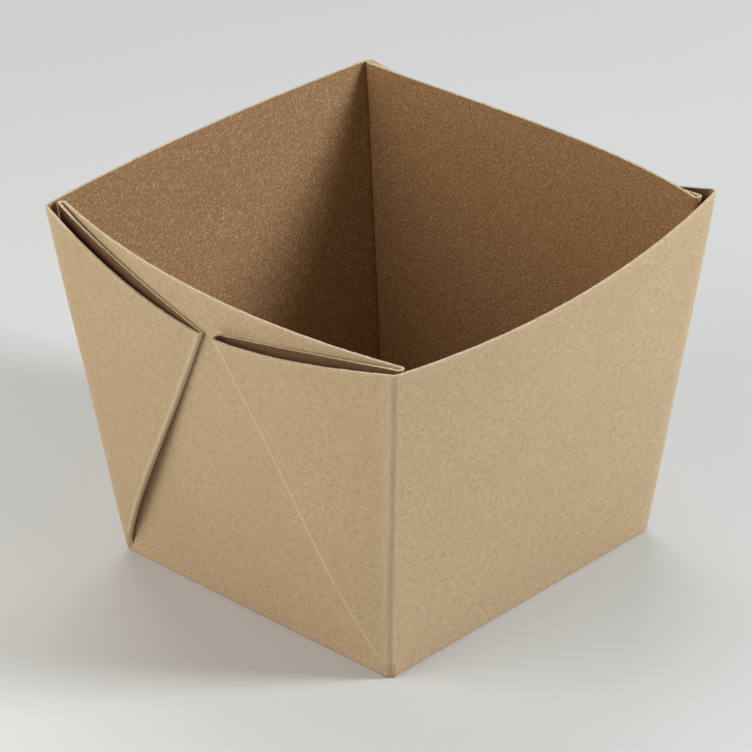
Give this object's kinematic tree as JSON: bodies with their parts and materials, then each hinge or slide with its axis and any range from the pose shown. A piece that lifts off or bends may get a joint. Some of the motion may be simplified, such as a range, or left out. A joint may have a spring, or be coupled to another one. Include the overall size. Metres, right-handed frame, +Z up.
{
  "type": "kraft takeout box",
  "caption": "Open flared food box with a square base, folded from a single sheet of kraft board, its corner gussets laid flat on the end walls.",
  "frame": {"origin": "centre of the base, on the surface the box stands on", "axes": "+X along the front wall, -Y out of that wall, +Z up"},
  "size_m": [0.1088, 0.1124, 0.0801],
  "materials": {
    "kraft_board": "matte uncoated outside, darker and lightly sealed inside"
  },
  "bodies": {
    "root": {"folded_carton": "kraft_board"}
  },
  "joints": []
}
